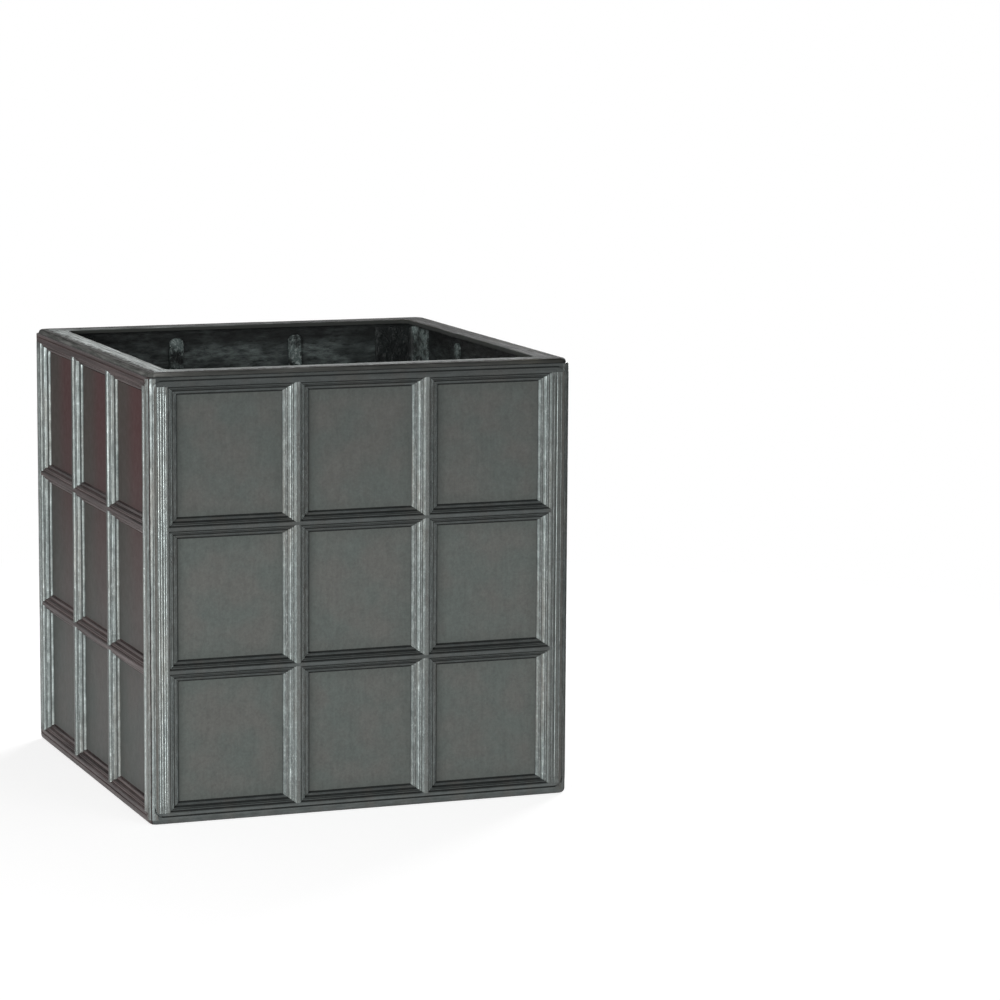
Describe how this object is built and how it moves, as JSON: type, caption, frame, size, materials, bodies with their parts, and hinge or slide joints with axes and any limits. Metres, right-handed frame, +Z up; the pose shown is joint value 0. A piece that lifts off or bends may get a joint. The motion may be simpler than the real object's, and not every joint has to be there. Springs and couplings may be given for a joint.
{
  "type": "square planter",
  "caption": "Square floor planter with sunk panes framed by stepped bars, a flat rim, an open top and a drained floor panel.",
  "frame": {"origin": "on the ground under the middle of the planter", "axes": "+X to the right along the front, +Y to the rear, +Z up"},
  "size_m": [0.4, 0.4, 0.405],
  "materials": {
    "wall_finish": "satin dark lead grey gelcoat, rubbed brighter on the mouldings",
    "rim_finish": "satin, brushed lead grey",
    "bare_laminate": "rough black laminate",
    "bonding_strip": "rough resin-wetted glass tape"
  },
  "bodies": {
    "root": {"front_wall": "wall_finish", "right_wall": "wall_finish", "rear_wall": "wall_finish", "left_wall": "wall_finish", "rim_frame": "rim_finish", "floor_panel": "bare_laminate", "front_left_corner_strip": "bonding_strip", "front_right_corner_strip": "bonding_strip", "rear_right_corner_strip": "bonding_strip", "rear_left_corner_strip": "bonding_strip", "front_floor_strip": "bonding_strip", "right_floor_strip": "bonding_strip", "rear_floor_strip": "bonding_strip", "left_floor_strip": "bonding_strip", "front_rib_left": "bonding_strip", "front_rib_right": "bonding_strip", "right_rib_front": "bonding_strip", "right_rib_rear": "bonding_strip", "rear_rib_right": "bonding_strip", "rear_rib_left": "bonding_strip", "left_rib_rear": "bonding_strip", "left_rib_front": "bonding_strip"}
  },
  "joints": []
}
